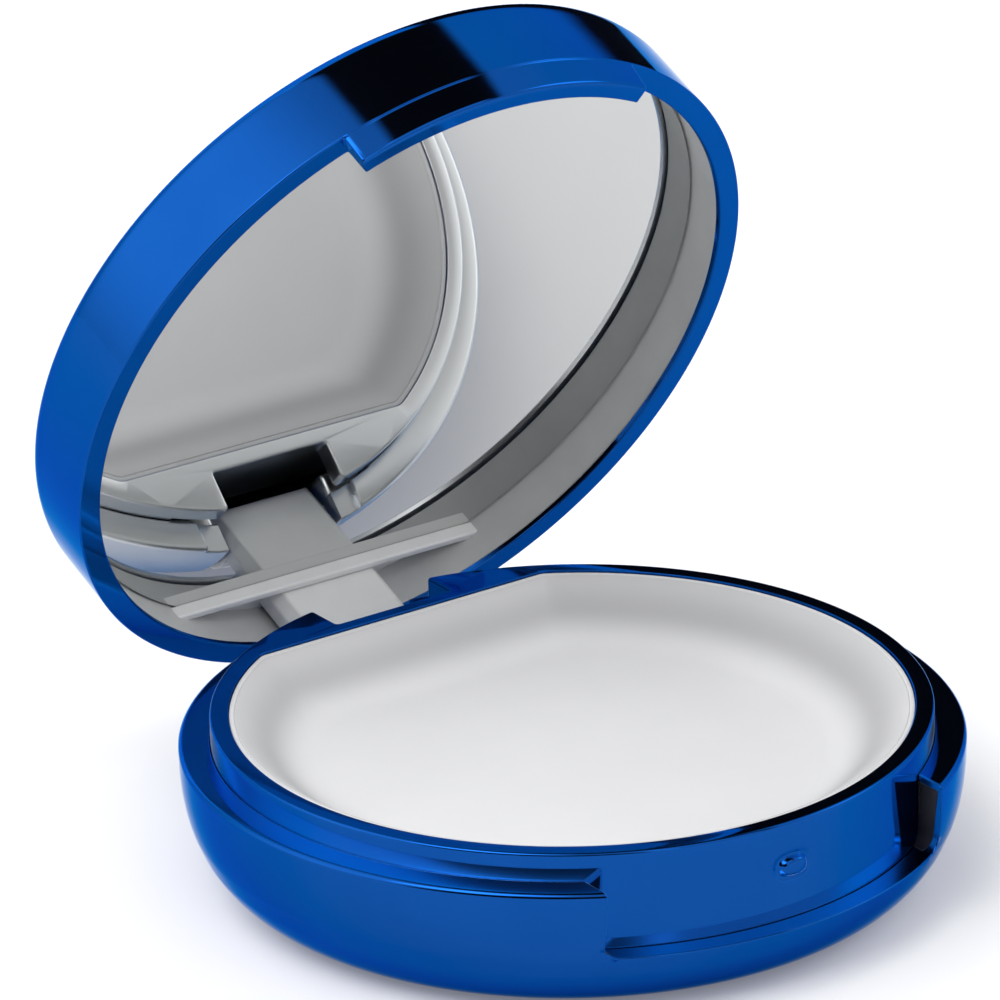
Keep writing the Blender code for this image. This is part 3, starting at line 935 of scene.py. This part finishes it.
def tongue(material):
    """The tongue down to the hinge, with chamfered front corners, and its knuckle round the pin."""
    bm = bmesh.new()
    axis = (HINGE_Y, HINGE_Z - RIM_Z)
    side = [(BRIDGE_FRONT, TONGUE_TOP)] + arc(axis, KNUCKLE, 180, 450, 40) + [(HINGE_Y, TONGUE_TOP)]
    half = TONGUE_X
    flat = TONGUE_X - TONGUE_CHAMFER
    places = ((-half, TONGUE_CHAMFER), (-flat, 0), (flat, 0), (half, TONGUE_CHAMFER))
    loft(bm, [[(x, max(y, BRIDGE_FRONT + inset), z) for y, z in side] for x, inset in places])
    obj = finish_mesh("hinge_tongue", bm, to_lid(), material, "lid")
    bevel(obj, TONGUE_EDGE, 3, "ANGLE")


def mirror_glass(material):
    """The D-shaped mirror, its front and back edges rounded."""
    bm = bmesh.new()
    loops = [level(d_outline(MIRROR, d), MIRROR_FACE + i) for i, d in rounding(MIRROR_EDGE, 0, 90, 4)]
    loops += [level(d_outline(MIRROR, d), MIRROR_BACK - i) for i, d in rounding(MIRROR_EDGE, 90, 0, 4)]
    loft(bm, loops)
    obj = finish_mesh("mirror_glass", bm, to_lid(), material, "lid", ["mirror"])
    weighted(obj)


# ---------------------------------------------------------------- studio

def camera():
    """The camera, aimed at a point over the compact's middle, with a slight roll."""
    azimuth, elevation, roll = (math.radians(v) for v in CAMERA_TURN)
    right = Vector((math.cos(azimuth), math.sin(azimuth), 0))
    back = Vector((math.sin(azimuth), -math.cos(azimuth), 0)) * math.cos(elevation)
    back.z = math.sin(elevation)
    up = back.cross(right)
    target = (Vector(CAMERA_TARGET) + right * CAMERA_SHIFT[0] + up * CAMERA_SHIFT[1]) * MM
    turned_right = right * math.cos(roll) + up * math.sin(roll)
    turned_up = up * math.cos(roll) - right * math.sin(roll)
    data = bpy.data.cameras.new("camera")
    data.sensor_width = 36
    data.lens = CAMERA_LENS
    data.clip_start = 0.01
    data.clip_end = 100
    obj = bpy.data.objects.new("camera", data)
    bpy.context.scene.collection.objects.link(obj)
    place = Matrix((turned_right, turned_up, back)).transposed().to_4x4()
    place.translation = target + back * CAMERA_DISTANCE * MM
    obj.matrix_world = place
    bpy.context.scene.camera = obj


def floor():
    """A pale floor that glows a little, so that it runs into the white background."""
    material, tree, shader = new_material("studio_floor")
    shader.inputs["Base Color"].default_value = (0.84, 0.84, 0.845, 1)
    shader.inputs["Roughness"].default_value = 0.8
    shader.inputs["Emission Color"].default_value = (1, 1, 1, 1)
    shader.inputs["Emission Strength"].default_value = 0.14
    shader.inputs["Specular IOR Level"].default_value = 0.2
    bm = bmesh.new()
    bm.faces.new(ring_of(bm, level(arc((0, 0), FLOOR_RADIUS, 0, 360, 128)[:-1], 0)))
    mesh = bpy.data.meshes.new("studio_floor")
    bm.to_mesh(mesh)
    bm.free()
    mesh.materials.append(material)
    obj = bpy.data.objects.new("studio_floor", mesh)
    bpy.context.scene.collection.objects.link(obj)


def world():
    """A soft studio: bright walls, a dark ceiling and a dark corner, told apart by direction only."""
    scene = bpy.context.scene
    scene.world = bpy.data.worlds.new("studio")
    scene.world.use_nodes = True
    tree = scene.world.node_tree
    where = tree.nodes.new("ShaderNodeTexCoord").outputs["Generated"]
    split = tree.nodes.new("ShaderNodeSeparateXYZ")
    tree.links.new(where, split.inputs[0])
    x, y, z = (split.outputs[axis] for axis in "XYZ")

    def step(value, start, end):
        return map_range(tree, value, (start, end), smooth=True)

    def product(one, two):
        return math_node(tree, "MULTIPLY", one, two)

    def panel(strength, *edges):
        """Light from the directions that lie inside every edge, each (component, start, end)."""
        total = strength
        for value, start, end in edges:
            total = product(step(value, start, end), total)
        return total

    def toward(direction):
        """How closely a direction faces a given one, 1 when it is the same."""
        node = tree.nodes.new("ShaderNodeVectorMath")
        node.operation = "DOT_PRODUCT"
        tree.links.new(where, node.inputs[0])
        node.inputs[1].default_value = Vector(direction).normalized()
        return node.outputs["Value"]

    dark_front = panel(step(toward((-0.707, -0.707, 0)), 0.74, 0.82), (z, 0.62, 0.56))
    lit_front = math_node(tree, "SUBTRACT", 1.0, dark_front)
    glow = product(step(toward((-0.73, 0.34, 0.59)), 0.7, 1.0), 0.85)
    left = product(panel(math_node(tree, "ADD", glow, 1.0), (x, -0.04, -0.1)), lit_front)
    right = panel(1.05, (x, 0.46, 0.51), (y, 0.53, 0.46))
    low_front = panel(1.0, (x, -0.26, -0.18), (x, 0.51, 0.46), (y, -0.4, -0.5), (z, 0.66, 0.6))
    left_key = panel(3.4, (x, -0.2, -0.35), (y, -0.45, -0.35), (y, 0.16, 0.06), (z, 0.6, 0.68))
    right_key = panel(2.0, (x, 0.45, 0.55), (y, -0.5, -0.4), (y, -0.05, -0.15), (z, 0.4, 0.5),
                      (z, 0.72, 0.66))
    front = panel(1.2, (x, -0.13, -0.07), (x, 0.46, 0.38), (y, -0.22, -0.34), (z, 0.6, 0.66))
    back = panel(1.6, (x, -0.13, -0.07), (x, 0.46, 0.4), (y, 0.45, 0.55))
    total = 0.008
    for part in (left, right, low_front, left_key, right_key, front, back):
        total = math_node(tree, "ADD", part, total)
    background = tree.nodes["Background"]
    camera_ray = tree.nodes.new("ShaderNodeLightPath").outputs["Is Camera Ray"]
    put(tree, background.inputs["Strength"], math_node(tree, "MAXIMUM", total, camera_ray))
    background.inputs["Color"].default_value = (1, 1, 1, 1)
    scene.view_settings.view_transform = "Standard"


def main():
    blue = blue_lacquer("blue_lacquer")
    grey = grey_plastic("grey_plastic", 0.56)
    # painted light: the bridge and the tongue, one moulding with the ring, get a lighter copy of its grey
    # plastic for the light the product throws up on them
    pale = grey_plastic("grey_plastic_painted_light", 0.84)
    camera()
    floor()
    world()
    base_bowl(blue)
    hinge_lugs(blue)
    rim_ends(painted_shade_black("painted_shade_black"))
    collar_and_well(blue)
    pan(white_plastic("white_plastic_skin"))
    balm(white_balm("white_balm_skin"))
    lid_cap(blue)
    liner_ring(grey)
    liner_bridge(pale)
    tongue(pale)
    mirror_glass(mirror_silver("mirror_silver"))
    repaint("hinge_pin", steel("pin_steel"))
    glue = tape("tape")
    repaint("pan_adhesive", glue)
    repaint("mirror_tape", glue)


main()
